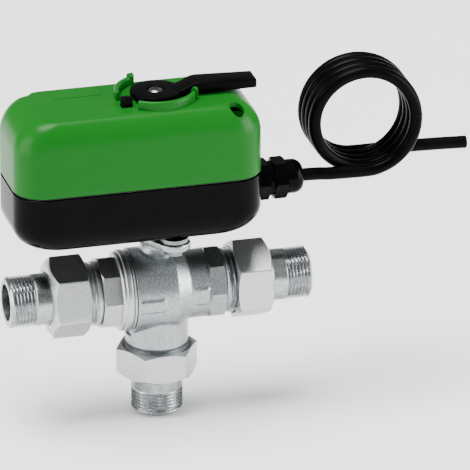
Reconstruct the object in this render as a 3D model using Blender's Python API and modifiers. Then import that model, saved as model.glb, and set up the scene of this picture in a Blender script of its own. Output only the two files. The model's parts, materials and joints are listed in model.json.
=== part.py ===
"""Motorised three-port zone valve: ball valve with union tails, actuator case and coiled lead.

Sizes below are millimetres; MM turns them into Blender's metres.  The origin is the point
where the axes of the three ports cross, +X runs along the pipe run, +Z points up the stem
and -Y is the front of the actuator.
"""
import math

import bmesh
import bpy
from mathutils import Matrix, Vector

MM = 0.001
GAP = 0.3

# Valve body
BARREL_R = 21.5
BARREL_LEFT = -14.7
BARREL_RIGHT = 7.4
NECK_R = 17.5
NECK_START = 13.5
OCTAGON_START = 24.2
OCTAGON_END = 32.8
OCTAGON_R = 18.94
PORT_THREAD_R = 16.6
PORT_FACE = 46.0
PORT_BORE_R = 8.0
CAVITY_R = 14.6
SEAT_BACK = 14.9
CAP_SPIGOT_R = 18.0
CAP_FLANGE_R = 21.0
CAP_SPIGOT_END = 11.1
LOWER_NECK_R = 16.0
STEM_BORE_R = 5.3

# Ball, seats and stem
BALL_R = 14.0
BALL_BORE_R = 7.5
SEAT_OUTER_R = 9.6
SEAT_INNER_R = 7.9
STEM_R = 5.0
STEM_SQUARE = 7.0

# Unions: distances are measured outwards along each port's axis
NUT_FLATS = 37.0
TAIL_R = 13.2
TAIL_BORE_R = 9.5
COLLAR_R = 15.0
LEFT_END = 78.5
RIGHT_END = 79.0
BOTTOM_END = 66.0
BOTTOM_FACE = 37.5

# Flange between valve and actuator
LUG_X = 5.5
LUG_Y = 15.0
LUG_R = 8.5
FLANGE_TOP = 31.0
FLANGE_THICK = 3.5
BOLT_R = 2.5

# Actuator case
CASE_LEFT = -77.4
CASE_RIGHT = 51.0
CASE_HALF_DEPTH = 28.0
CASE_BOTTOM = 34.0
CASE_SEAM = 65.5
SEAM_GAP = 0.4
CASE_TOP = 104.7
CASE_CORNER_R = 15.5
TOP_SHOULDER = (16.5, 8.0, 17.3)
TOP_CORNER_SHRINK = 0.6
BOTTOM_SHOULDER = (14.4, 10.5, 14.4)
BOTTOM_CORNER_SHRINK = 0.05
WALL = 2.5
COVER_SCREWS = ((36.3, -21.5), (-62.7, 21.5))
SCREW_SEAT_Z = 92.0

# Lever and its guard
LEVER_HUB_R = 13.0
LEVER_HALF_WIDTH = 6.0
LEVER_END = 51.2
GUARD_INNER_R = 18.6
GUARD_OUTER_R = 21.0
GUARD_TOP = 109.3
POST_TOP = 110.8

# Release button
BUTTON_X = -17.5
BUTTON_Y = -9.2
BUTTON_TRAVEL = 2.5

# Gear train
MODULE = 0.8
PRESSURE_ANGLE = math.radians(25.0)
BACKLASH = 0.16
OUTPUT_TEETH = 48
IDLER_SMALL_TEETH = 12
IDLER_LARGE_TEETH = 36
PINION_TEETH = 12
IDLER_X = -MODULE * (OUTPUT_TEETH + IDLER_SMALL_TEETH) / 2
PINION_X = IDLER_X - MODULE * (IDLER_LARGE_TEETH + PINION_TEETH) / 2
SHAFT_R = 6.0
PLATE_Z = (63.0, 65.0)
PLATE_POSTS = ((-68.0, -14.0), (20.0, -19.0), (20.0, 19.0))
MOTOR_X = -48.0
MOTOR_R = 18.0

# Switches
SWITCH_X = (18.5, 28.5)
SWITCH_LEVELS = (65.4, 71.7)
SWITCH_HEIGHT = 5.9
PLUNGER_TIP = 16.0

# Cable gland and cable
GLAND_Z = 53.4
GLAND_HEX_R = 10.95
CABLE_R = 3.3
COIL_TURNS = 4
COIL_R = 26.3
COIL_X = 110.8
COIL_Z = 78.5
LEAD_ROUTE = ((76.6, 0.0, 53.4), (81.6, 0.0, 53.3), (86.7, 0.0, 53.0), (91.2, 0.0, 52.6))
TAIL_ROUTE = ((129.8, 26.4, 52.2), (143.0, 26.4, 52.0), (157.0, 26.4, 51.6), (171.0, 26.4, 51.0))

COLOURS = {
    "plated_brass": ((0.56, 0.58, 0.60), 0.32, 1.0),
    "polished_brass": ((0.80, 0.72, 0.50), 0.15, 1.0),
    "green_plastic": ((0.065, 0.39, 0.07), 0.38, 0.0),
    "black_plastic": ((0.008, 0.008, 0.009), 0.35, 0.0),
    "zinc_steel": ((0.66, 0.67, 0.69), 0.28, 1.0),
    "black_rubber": ((0.02, 0.02, 0.02), 0.7, 0.0),
    "white_ptfe": ((0.85, 0.85, 0.82), 0.45, 0.0),
    "fibre_gasket": ((0.30, 0.09, 0.05), 0.8, 0.0),
    "gear_nylon": ((0.75, 0.72, 0.62), 0.5, 0.0),
    "board_green": ((0.02, 0.14, 0.05), 0.5, 0.0),
    "terminal_grey": ((0.35, 0.37, 0.39), 0.5, 0.0),
    "cable_black": ((0.012, 0.012, 0.013), 0.4, 0.0),
}


def clear_scene():
    for obj in list(bpy.data.objects):
        bpy.data.objects.remove(obj, do_unlink=True)


def new_collection(name):
    collection = bpy.data.collections.new(name)
    bpy.context.scene.collection.children.link(collection)
    return collection


def material(name):
    if name in bpy.data.materials:
        return bpy.data.materials[name]
    colour, roughness, metallic = COLOURS[name]
    made = bpy.data.materials.new(name)
    made.use_nodes = True
    shader = made.node_tree.nodes["Principled BSDF"]
    shader.inputs["Base Color"].default_value = (*colour, 1.0)
    shader.inputs["Roughness"].default_value = roughness
    shader.inputs["Metallic"].default_value = metallic
    made.diffuse_color = (*colour, 1.0)
    return made


clear_scene()
PARTS = new_collection("zone_valve")
TOOLS = new_collection("cutters")

AIM = {
    "up": Matrix.Identity(3),
    "down": Matrix.Rotation(math.pi, 3, "X"),
    "right": Matrix.Rotation(math.pi / 2, 3, "Y"),
    "left": Matrix.Rotation(-math.pi / 2, 3, "Y"),
    "back": Matrix.Rotation(-math.pi / 2, 3, "X"),
}


def add(name, mesh, finish, at=(0, 0, 0), aim="up", spin=0.0):
    """Link a mesh as a part, or as a hidden cutter when it has no finish."""
    obj = bpy.data.objects.new(name, mesh)
    turn = AIM[aim] @ Matrix.Rotation(spin, 3, "Z")
    obj.matrix_world = Matrix.Translation(Vector(at) * MM) @ turn.to_4x4()
    if finish:
        mesh.materials.clear()
        mesh.materials.append(material(finish))
        PARTS.objects.link(obj)
    else:
        obj.hide_render = True
        obj.display_type = "WIRE"
        TOOLS.objects.link(obj)
    return obj


def turned(name, profile, finish=None, at=(0, 0, 0), aim="up", steps=32, spin=0.0, ring=False):
    """Turn a profile of (radius, height) points, outer side from top to bottom, about local Z."""
    mesh = bpy.data.meshes.new(name)
    points = [(radius * MM, 0.0, height * MM) for radius, height in profile]
    edges = [(i, i + 1) for i in range(len(points) - 1)]
    if ring:
        edges.append((len(points) - 1, 0))
    mesh.from_pydata(points, edges, [])
    obj = add(name, mesh, finish, at, aim, spin)
    screw = obj.modifiers.new("turn", "SCREW")
    screw.steps = steps
    screw.render_steps = steps
    screw.use_merge_vertices = True
    screw.merge_threshold = 0.00001
    screw.use_smooth_shade = True
    return obj


def rod(name, radius, low, high, finish=None, at=(0, 0, 0), aim="up", steps=24, spin=0.0):
    """A plain round (or, with few steps, many-sided) bar between two heights on local Z."""
    profile = ((0, high), (radius, high), (radius, low), (0, low))
    return turned(name, profile, finish, at, aim, steps, spin)


def tube(name, outer, inner, low, high, finish=None, at=(0, 0, 0), aim="up", steps=24, spin=0.0):
    """A plain ring between two heights on local Z."""
    profile = ((outer, high), (outer, low), (inner, low), (inner, high))
    return turned(name, profile, finish, at, aim, steps, spin, ring=True)


def block(name, low, high, finish=None, bevel=0.0, origin=(0, 0, 0)):
    """A box between two corners, with its origin where a joint needs it."""
    mesh = bpy.data.meshes.new(name)
    shape = bmesh.new()
    bmesh.ops.create_cube(shape, size=1.0)
    low = Vector(low) - Vector(origin)
    high = Vector(high) - Vector(origin)
    size = high - low
    bmesh.ops.scale(shape, vec=size * MM, verts=shape.verts)
    bmesh.ops.translate(shape, vec=(low + high) / 2 * MM, verts=shape.verts)
    shape.to_mesh(mesh)
    shape.free()
    obj = add(name, mesh, finish, origin)
    if bevel:
        edge = obj.modifiers.new("edges", "BEVEL")
        edge.width = bevel * MM
        edge.segments = 1
    return obj


def plate(name, outlines, low, high, finish=None, at=(0, 0, 0), aim="up", spin=0.0):
    """A flat 2D curve with holes, extruded between two heights and turned into a mesh."""
    curve = bpy.data.curves.new(name, "CURVE")
    curve.dimensions = "2D"
    curve.fill_mode = "BOTH"
    curve.extrude = (high - low) / 2 * MM
    for outline in outlines:
        spline = curve.splines.new("POLY")
        spline.points.add(len(outline) - 1)
        spline.use_cyclic_u = True
        for point, (x, y) in zip(spline.points, outline):
            point.co = (x * MM, y * MM, 0.0, 1.0)
    flat = bpy.data.objects.new(name + "_outline", curve)
    TOOLS.objects.link(flat)
    bpy.context.view_layer.update()
    mesh = bpy.data.meshes.new_from_object(flat.evaluated_get(bpy.context.evaluated_depsgraph_get()))
    bpy.data.objects.remove(flat, do_unlink=True)
    mesh.name = name
    shape = bmesh.new()
    shape.from_mesh(mesh)
    bmesh.ops.remove_doubles(shape, verts=shape.verts, dist=0.000005)
    bmesh.ops.translate(shape, vec=(0, 0, (low + high) / 2 * MM), verts=shape.verts)
    bmesh.ops.recalc_face_normals(shape, faces=shape.faces)
    shape.to_mesh(mesh)
    shape.free()
    return add(name, mesh, finish, at, aim, spin)


def combine(obj, tools, operation):
    for tool in tools:
        boolean = obj.modifiers.new(tool.name, "BOOLEAN")
        boolean.operation = operation
        boolean.solver = "EXACT"
        boolean.object = tool
    return obj


def join(obj, *tools):
    return combine(obj, tools, "UNION")


def cut(obj, *tools):
    return combine(obj, tools, "DIFFERENCE")


def arc(radius, start, end, steps):
    """Points on an arc about the origin; angles in degrees."""
    turns = [math.radians(start + (end - start) * i / steps) for i in range(steps + 1)]
    return [(radius * math.cos(turn), radius * math.sin(turn)) for turn in turns]


def circle(radius, steps=24, x=0.0, y=0.0):
    return [(x + px, y + py) for px, py in arc(radius, 0, 360, steps)[:-1]]


def rounded_outline(inset_x=0.0, inset_y=0.0, shrink=1.0, steps=5):
    """The case's rounded rectangle, anticlockwise, drawn in from its ends and its long sides."""
    radius = max(CASE_CORNER_R - shrink * (inset_x + inset_y) / 2, 0.8)
    left, right, half = CASE_LEFT + inset_x, CASE_RIGHT - inset_x, CASE_HALF_DEPTH - inset_y
    corners = (
        (right - radius, -half + radius, -90),
        (right - radius, half - radius, 0),
        (left + radius, half - radius, 90),
        (left + radius, -half + radius, 180),
    )
    points = []
    for x, y, start in corners:
        points += [(x + px, y + py) for px, py in arc(radius, start, start + 90, steps)]
    return points


def case_half(name, seam, closed, shoulder, shrink, finish):
    """One half of the case: a lofted open shell that closes through a curved shoulder."""
    in_x, in_y, rise = shoulder
    up = math.copysign(1.0, closed - seam)
    shape = bmesh.new()
    levels = [(seam, 0.0)]
    rounds = 6
    for i in range(rounds + 1):
        turn = math.pi / 2 * i / rounds
        levels.append((closed - up * rise * (1 - math.sin(turn)), 1 - math.cos(turn)))
    rings = []
    for level, share in levels:
        outline = rounded_outline(in_x * share, in_y * share, shrink)
        rings.append([shape.verts.new((x * MM, y * MM, level * MM)) for x, y in outline])
    for lower, upper in zip(rings, rings[1:]):
        for i in range(len(lower)):
            j = (i + 1) % len(lower)
            shape.faces.new((lower[i], lower[j], upper[j], upper[i]))
    shape.faces.new(rings[-1])
    bmesh.ops.recalc_face_normals(shape, faces=shape.faces)
    middle = shape.faces[:][-1]
    if middle.normal.z * up < 0:
        bmesh.ops.reverse_faces(shape, faces=shape.faces)
    mesh = bpy.data.meshes.new(name)
    shape.to_mesh(mesh)
    shape.free()
    obj = add(name, mesh, finish)
    skin = obj.modifiers.new("wall", "SOLIDIFY")
    skin.thickness = WALL * MM
    skin.offset = -1.0
    skin.use_even_offset = True
    return obj


def shoulder_drop(x, y, shoulder, shrink):
    """How far the case's rounded end lies from its flat, above or below a point."""
    in_x, in_y, rise = shoulder
    across = abs(x - (CASE_LEFT + CASE_RIGHT) / 2)
    low, high = 0.0, 1.0
    for _ in range(20):
        share = (low + high) / 2
        radius = max(CASE_CORNER_R - shrink * share * (in_x + in_y) / 2, 0.8)
        over_x = across - ((CASE_RIGHT - CASE_LEFT) / 2 - in_x * share - radius)
        over_y = abs(y) - (CASE_HALF_DEPTH - in_y * share - radius)
        if math.hypot(max(over_x, 0.0), max(over_y, 0.0)) <= radius:
            low = share
        else:
            high = share
    return rise * (1.0 - math.sqrt(1.0 - (1.0 - low) ** 2))


def roof_height(x, y):
    return CASE_TOP - shoulder_drop(x, y, TOP_SHOULDER, TOP_CORNER_SHRINK)


def floor_height(x, y):
    return CASE_BOTTOM + shoulder_drop(x, y, BOTTOM_SHOULDER, BOTTOM_CORNER_SHRINK)


def fitted_boss(name, x, y, low, high):
    """A round boss whose ends may be heights or may follow the case's outer face."""
    mesh = bpy.data.meshes.new(name)
    shape = bmesh.new()
    radius = 5.0 * MM
    bmesh.ops.create_cone(shape, segments=16, radius1=radius, radius2=radius, depth=1.0 * MM, cap_ends=True)
    for vert in shape.verts:
        end = high if vert.co.z > 0 else low
        place = (x + vert.co.x / MM, y + vert.co.y / MM)
        vert.co.z = (end(*place) if callable(end) else end) * MM
    bmesh.ops.triangulate(shape, faces=shape.faces)
    shape.to_mesh(mesh)
    shape.free()
    return add(name, mesh, None, (x, y, 0))


def gear_outline(teeth, phase):
    """Straight-sided teeth that lie inside the true involute, with backlash."""
    pitch_r = MODULE * teeth / 2
    base_r = pitch_r * math.cos(PRESSURE_ANGLE)
    root_r = pitch_r - 1.15 * MODULE
    tip_r = pitch_r + 0.92 * MODULE

    def half_angle(radius):
        lean = math.acos(min(1.0, base_r / radius))
        spread = math.tan(PRESSURE_ANGLE) - PRESSURE_ANGLE - math.tan(lean) + lean
        return math.pi / (2 * teeth) - BACKLASH / (2 * pitch_r) + spread

    points = []
    for tooth in range(teeth):
        middle = phase + 2 * math.pi * tooth / teeth
        for radius, side in ((root_r, -1), (tip_r, -1), (tip_r, 1), (root_r, 1)):
            turn = middle + side * half_angle(max(radius, base_r))
            points.append((radius * math.cos(turn), radius * math.sin(turn)))
    return points


def smooth_route(route, spacing):
    """Evenly read points of a Catmull-Rom curve through a cable's own points."""
    ends = [route[0], *route, route[-1]]
    points = []
    for a, b, c, d in zip(ends, ends[1:], ends[2:], ends[3:]):
        a, b, c, d = Vector(a), Vector(b), Vector(c), Vector(d)
        count = max(1, round((c - b).length / spacing))
        for i in range(count):
            t = i / count
            points.append(
                0.5
                * (2 * b + (c - a) * t + (2 * a - 5 * b + 4 * c - d) * t**2 + (3 * b - a - 3 * c + d) * t**3)
            )
    return [*points, Vector(route[-1])]


def wire(name, points, radius, finish, resolution=2):
    """A round bar along points, with filled caps."""
    curve = bpy.data.curves.new(name, "CURVE")
    curve.dimensions = "3D"
    curve.bevel_depth = radius * MM
    curve.bevel_resolution = resolution
    curve.use_fill_caps = True
    spline = curve.splines.new("POLY")
    spline.points.add(len(points) - 1)
    for point, place in zip(spline.points, points):
        point.co = (*(Vector(place) * MM), 1.0)
    curve.materials.append(material(finish))
    obj = bpy.data.objects.new(name, curve)
    PARTS.objects.link(obj)
    return obj


def stadium_flange():
    """The two-lug flange: a hull around the lugs and the neck."""
    mesh = bpy.data.meshes.new("flange_tool")
    shape = bmesh.new()
    rims = [(LUG_R, LUG_X, -LUG_Y), (LUG_R, -LUG_X, LUG_Y), (11.0, 0.0, 0.0)]
    for radius, x, y in rims:
        for z in (FLANGE_TOP - FLANGE_THICK, FLANGE_TOP):
            for px, py in circle(radius, 20, x, y):
                shape.verts.new((px * MM, py * MM, z * MM))
    hull = bmesh.ops.convex_hull(shape, input=shape.verts)
    spare = [item for item in hull["geom_interior"] if isinstance(item, bmesh.types.BMVert)]
    bmesh.ops.delete(shape, geom=spare, context="VERTS")
    shape.to_mesh(mesh)
    shape.free()
    return add("flange_tool", mesh, None)


# ---------------------------------------------------------------- valve body


def make_valve_body():
    barrel = (
        (0, PORT_FACE), (PORT_THREAD_R, PORT_FACE), (PORT_THREAD_R, OCTAGON_END - 1),
        (NECK_R, OCTAGON_END - 1), (NECK_R, NECK_START), (BARREL_R, BARREL_RIGHT),
        (BARREL_R, BARREL_LEFT), (0, BARREL_LEFT),
    )
    body = turned("valve_body", barrel, "plated_brass", aim="right", steps=36)
    octagon = rod("octagon_tool", OCTAGON_R, OCTAGON_START, OCTAGON_END, aim="right", steps=8)
    lower = (
        (0, BOTTOM_FACE), (PORT_THREAD_R, BOTTOM_FACE), (PORT_THREAD_R, 31), (LOWER_NECK_R, 30),
        (LOWER_NECK_R, 10), (0, 10),
    )
    lower_neck = turned("lower_neck_tool", lower, aim="down", steps=36)
    bonnet = (
        (0, FLANGE_TOP - 1), (8.2, FLANGE_TOP - 1), (8.2, 24), (9.0, 21.5), (10.6, 19.2),
        (13, 17.2), (13, 12),
        (0, 12),
    )
    neck = turned("bonnet_tool", bonnet, steps=32)
    join(body, octagon, lower_neck, neck, stadium_flange())
    seat_floor = SEAT_BACK + GAP
    pocket_r = SEAT_OUTER_R + GAP
    cavity = (
        (0, PORT_FACE + 1), (PORT_BORE_R, PORT_FACE + 1), (PORT_BORE_R, seat_floor), (pocket_r, seat_floor),
        (pocket_r, 10.5), (CAVITY_R, 10.5), (CAVITY_R, GAP - CAP_SPIGOT_END),
        (CAP_SPIGOT_R + GAP, GAP - CAP_SPIGOT_END), (CAP_SPIGOT_R + GAP, BARREL_LEFT),
        (CAP_FLANGE_R + GAP, BARREL_LEFT), (CAP_FLANGE_R + GAP, -22.3), (0, -22.3),
    )
    run_bore = turned("run_bore_tool", cavity, aim="right", steps=32)
    seat_pocket = (
        (0, BOTTOM_FACE + 1), (PORT_BORE_R, BOTTOM_FACE + 1), (PORT_BORE_R, seat_floor),
        (pocket_r, seat_floor), (pocket_r, 0), (0, 0),
    )
    lower_bore = turned("lower_bore_tool", seat_pocket, aim="down", steps=32)
    stem_bore = (
        (0, FLANGE_TOP + 1), (STEM_BORE_R, FLANGE_TOP + 1), (STEM_BORE_R, 17.2), (7.4, 17.2),
        (7.4, 1), (0, 1),
    )
    stem_hole = turned("stem_bore_tool", stem_bore, steps=24)
    holes = [
        rod(f"lug_hole_tool_{side}", BOLT_R + GAP, 22, 34, at=(side * LUG_X, -side * LUG_Y, 0), steps=16)
        for side in (1, -1)
    ]
    cut(body, run_bore, lower_bore, stem_hole, *holes)


def make_end_cap():
    """Screwed cap that closes the ball cavity and carries the left port."""
    profile = (
        (0, PORT_FACE), (PORT_THREAD_R, PORT_FACE), (PORT_THREAD_R, 22), (CAP_FLANGE_R, 22),
        (CAP_FLANGE_R, 15.0), (CAP_SPIGOT_R, 15.0), (CAP_SPIGOT_R, CAP_SPIGOT_END), (0, CAP_SPIGOT_END),
    )
    cap = turned("body_end_cap", profile, "plated_brass", aim="left", steps=36)
    octagon = rod("cap_octagon_tool", OCTAGON_R, 21.5, 31.4, aim="left", steps=8)
    join(cap, octagon)
    bore = (
        (0, 50), (PORT_BORE_R, 50), (PORT_BORE_R, SEAT_BACK + GAP), (SEAT_OUTER_R + GAP, SEAT_BACK + GAP),
        (SEAT_OUTER_R + GAP, 10), (0, 10),
    )
    groove = tube("cap_groove_tool", 19.5, 16.5, 12.1, 13.7, aim="left", steps=36)
    cut(cap, turned("cap_bore_tool", bore, aim="left", steps=32), groove)


def make_ball():
    mesh = bpy.data.meshes.new("ball")
    shape = bmesh.new()
    bmesh.ops.create_uvsphere(shape, u_segments=28, v_segments=14, radius=BALL_R * MM)
    shape.to_mesh(mesh)
    shape.free()
    ball = add("ball", mesh, "polished_brass")
    right = rod("ball_right_tool", BALL_BORE_R, 0, BALL_R + 1, aim="right")
    back = rod("ball_back_tool", BALL_BORE_R, 0, BALL_R + 1, aim="back")
    down = rod("ball_down_tool", BALL_BORE_R, -2.0, BALL_R + 1, aim="down")
    slot = block("ball_slot_tool", (-15, -2.3, 11.2), (15, 2.3, 16))
    cut(ball, right, back, down, slot)


def make_seat(name, aim):
    face = (
        (SEAT_OUTER_R, SEAT_BACK), (SEAT_OUTER_R, 10.6), (SEAT_INNER_R, 11.95), (SEAT_INNER_R, SEAT_BACK)
    )
    turned(name, face, "white_ptfe", aim=aim, steps=28, ring=True)


def make_stem():
    profile = (
        (0, 32.6), (STEM_R, 32.6), (STEM_R, 26.4), (3.6, 26.4), (3.6, 24.6), (STEM_R, 24.6), (STEM_R, 22.4),
        (3.6, 22.4), (3.6, 20.6), (STEM_R, 20.6), (STEM_R, 16.2), (7.0, 16.2), (7.0, 14.8), (0, 14.8),
    )
    stem = turned("stem", profile, "polished_brass", steps=20)
    half = STEM_SQUARE / 2
    tang = block("stem_tang_tool", (-6.5, -2.0, 11.6), (6.5, 2.0, 15.2))
    square = block("stem_square_tool", (-half, -half, 32), (half, half, 44.2))
    join(stem, tang, square)
    tube("stem_washer", 6.9, 5.3 + 0.05, 16.4, 16.95, "white_ptfe", steps=20)
    for name, middle in (("stem_oring_lower", 21.5), ("stem_oring_upper", 25.5)):
        make_ring(name, 4.45, 0.55, middle)


def make_ring(name, radius, thickness, middle, aim="up", finish="black_rubber", steps=20):
    """An O-ring: a small round section turned about the axis."""
    section = [(radius + x, middle + y) for x, y in circle(thickness, 6)]
    turned(name, section[::-1], finish, aim=aim, steps=steps, ring=True)


# -------------------------------------------------------------------- unions


def make_union(side, aim, face, end, nut_start, nut_end, spin):
    """Gasket, tailpiece and nut of one port, placed by distance from the centre."""
    tube(f"union_gasket_{side}", 15.0, 10.0, face + GAP, face + 2.3, "fibre_gasket", aim=aim)
    collar = face + 2.6
    tail = (
        (TAIL_R - 0.8, end), (TAIL_R, end - 0.8), (TAIL_R, collar + 3.5), (COLLAR_R, collar + 3.5),
        (COLLAR_R, collar), (TAIL_BORE_R, collar), (TAIL_BORE_R, end),
    )
    turned(f"tailpiece_{side}", tail, "plated_brass", aim=aim, steps=32, ring=True)
    corner_r = NUT_FLATS / 2 / math.cos(math.pi / 6)
    nut = rod(f"union_nut_{side}", corner_r, nut_start, nut_end, "plated_brass", aim=aim, steps=6, spin=spin)
    shoulder = collar + 3.5 + GAP
    bore = (
        (0, nut_end + 1), (TAIL_R + GAP, nut_end + 1), (TAIL_R + GAP, shoulder),
        (PORT_THREAD_R + GAP, shoulder),
        (PORT_THREAD_R + GAP, nut_start - 1), (0, nut_start - 1),
    )
    cut(nut, turned(f"nut_bore_tool_{side}", bore, aim=aim, steps=32))


def make_unions():
    make_union("right", "right", PORT_FACE, RIGHT_END, 38.5, 58.0, 0.0)
    make_union("left", "left", PORT_FACE, LEFT_END, 38.0, 57.5, math.radians(12))
    make_union("bottom", "down", BOTTOM_FACE, BOTTOM_END, 31.0, 47.0, 0.0)


def make_flange_fixings():
    for name, side in (("front", 1), ("back", -1)):
        place = (side * LUG_X, -side * LUG_Y, 0)
        underside = FLANGE_TOP - FLANGE_THICK - GAP
        low, high = FLANGE_TOP + GAP, CASE_BOTTOM - GAP
        tube(f"flange_spacer_{name}", 7.4, BOLT_R + GAP, low, high, "zinc_steel", at=place)
        screw = rod(
            f"flange_screw_{name}", 5.77, underside - 3.0, underside, "zinc_steel", at=place, steps=6
        )
        join(screw, rod(f"flange_shank_tool_{name}", BOLT_R, underside - 1, 46.0, at=place, steps=12))


# ------------------------------------------------------------- actuator case


def make_base():
    seam = CASE_SEAM - SEAM_GAP
    base = case_half(
        "base_housing", seam, CASE_BOTTOM, BOTTOM_SHOULDER, BOTTOM_CORNER_SHRINK, "black_plastic"
    )
    floor = CASE_BOTTOM + 1.5
    bosses = [
        rod("centre_boss_tool", 11.6, floor, 49.4, steps=28),
        rod("axle_boss_tool", 4.5, floor, 48.0, at=(IDLER_X, 0, 0), steps=16),
    ]
    holes = [
        rod("centre_hole_tool", 9.0, 30, 52, steps=28),
        rod("axle_hole_tool", 2.3, 38.0, 52, at=(IDLER_X, 0, 0), steps=12),
        rod("gland_hole_tool", 7.8, 40, 60, at=(0, 0, GLAND_Z), aim="right", steps=20),
    ]
    for side in (1, -1):
        place = (side * LUG_X, -side * LUG_Y, 0)
        bosses.append(rod(f"bolt_boss_tool_{side}", 5.4, floor, 47.5, at=place, steps=16))
        holes.append(rod(f"bolt_hole_tool_{side}", BOLT_R + GAP, 30, 50, at=place, steps=12))
    for i, (x, y) in enumerate(PLATE_POSTS):
        bosses.append(rod(f"plate_post_tool_{i}", 3.6, floor, PLATE_Z[0] - GAP, at=(x, y, 0), steps=12))
        holes.append(rod(f"plate_post_hole_tool_{i}", 1.5, 52, 66, at=(x, y, 0), steps=10))
    for i, (x, y) in enumerate(COVER_SCREWS):
        bosses.append(
            fitted_boss(f"cover_post_tool_{i}", x, y, lambda px, py: floor_height(px, py) + 1.2, 60.0)
        )
        holes.append(rod(f"cover_post_hole_tool_{i}", 1.8, 44, 66, at=(x, y, 0), steps=10))
    for side in (1, -1):
        bosses.append(rod(f"board_post_tool_{side}", 2.4, floor, 65.4, at=(33.5, side * 12.5, 0), steps=10))
    join(base, *bosses)
    cut(base, *holes)


def guard_outline(start, end):
    return arc(GUARD_OUTER_R, start, end, 12) + arc(GUARD_INNER_R, end, start, 12)


def make_cover():
    seam = CASE_SEAM + SEAM_GAP
    cover = case_half("cover", seam, CASE_TOP, TOP_SHOULDER, TOP_CORNER_SHRINK, "green_plastic")
    below = CASE_TOP - 2.0
    guards = [
        plate("guard_front_tool", [guard_outline(-129, -23)], 100.0, GUARD_TOP),
        plate("guard_back_tool", [guard_outline(112, 185)], below, GUARD_TOP),
        plate("post_front_tool", [guard_outline(-29, -23)], below, POST_TOP),
        plate("post_back_tool", [guard_outline(112, 118)], below, POST_TOP),
    ]
    guard_floor = block("guard_floor_tool", (-30, -24, 95), (30, 24, CASE_TOP - 4.9))
    cut(guards[0], guard_floor)
    posts = [
        fitted_boss(f"cover_boss_tool_{i}", x, y, CASE_SEAM + 1.1, lambda px, py: roof_height(px, py) - 1.2)
        for i, (x, y) in enumerate(COVER_SCREWS)
    ]
    join(cover, *guards, *posts)
    holes = [
        rod("shaft_hole_tool", 7.3, 95, 112),
        block(
            "button_hole_tool", (BUTTON_X - 3.0, BUTTON_Y - 2.9, 95), (BUTTON_X + 3.0, BUTTON_Y + 2.9, 112)
        ),
    ]
    for i, (x, y) in enumerate(COVER_SCREWS):
        holes.append(rod(f"screw_recess_tool_{i}", 3.9, SCREW_SEAT_Z, 112, at=(x, y, 0), steps=20))
        holes.append(rod(f"screw_hole_tool_{i}", 2.1, 60, 100, at=(x, y, 0), steps=12))
    cut(cover, *holes)


def make_case_fixings():
    outer = rounded_outline(0.5, 0.5, steps=4)
    inner = rounded_outline(2.1, 2.1, steps=4)
    plate("cover_gasket", [outer, inner], CASE_SEAM - 0.1, CASE_SEAM + 0.1, "black_rubber")
    for i, (x, y) in enumerate(COVER_SCREWS):
        profile = (
            (0, SCREW_SEAT_Z + 3.0), (3.3, SCREW_SEAT_Z + 3.0), (3.3, SCREW_SEAT_Z + GAP),
            (1.5, SCREW_SEAT_Z + GAP),
            (1.5, 46), (0, 46),
        )
        turned(f"cover_screw_{i + 1}", profile, "zinc_steel", at=(x, y, 0), steps=14)


# ------------------------------------------------------- lever and its shaft


def make_lever():
    lever = rod("lever", LEVER_HUB_R, CASE_TOP + 0.7, 108.3, "black_plastic", steps=32)
    side = (
        (6.0, CASE_TOP + 0.7), (14.0, CASE_TOP + 1.1), (LEVER_END, 106.1), (LEVER_END, 110.8), (21.5, 112.0),
        (17.5, 110.9), (13.5, 109.3), (10.0, 108.3), (6.0, 108.3),
    )
    arm = plate("lever_arm_tool", [side], -LEVER_HALF_WIDTH, LEVER_HALF_WIDTH)
    arm.matrix_world = Matrix.Rotation(math.pi / 2, 4, "X")
    nose = block("lever_nose_tool", (9.0, -2.5, CASE_TOP + 0.7), (14.5, 2.5, 107.9))
    nose.matrix_world = Matrix.Rotation(math.radians(-140), 4, "Z")
    spigot = block("lever_spigot_tool", (-3.2, -3.2, 99.6), (3.2, 3.2, 106.2))
    join(lever, arm, nose, spigot)
    cut(lever, rod("lever_hole_tool", 2.3, 90, 112, steps=16), rod(
        "lever_sink_tool", 4.3, 107.0, 115, steps=20
    ))
    screw = ((0, 108.9), (2.4, 108.7), (3.9, 107.9), (3.9, 107.3), (2.0, 107.3), (2.0, 93), (0, 93))
    turned("lever_screw", screw, "zinc_steel", steps=16)
    make_ring("lever_oring", 6.2, 0.75, 103.5)


def make_output_shaft():
    profile = (
        (0, CASE_TOP - 0.1), (SHAFT_R, CASE_TOP - 0.1), (SHAFT_R, 104.6), (5.1, 104.6),
        (5.1, 102.4), (SHAFT_R, 102.4),
        (SHAFT_R, 49.7), (8.5, 49.7), (8.5, 35.2), (0, 35.2),
    )
    shaft = turned("output_shaft", profile, "zinc_steel", steps=24)
    half = STEM_SQUARE / 2 + GAP
    lower_socket = block("lower_socket_tool", (-half, -half, 30), (half, half, 44.6))
    upper_socket = block("upper_socket_tool", (-3.5, -3.5, 99.2), (3.5, 3.5, 110))
    cut(shaft, lower_socket, upper_socket, rod("shaft_screw_tool", 2.3, 92, 101, steps=12))


# ----------------------------------------------------------------- gear train


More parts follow.
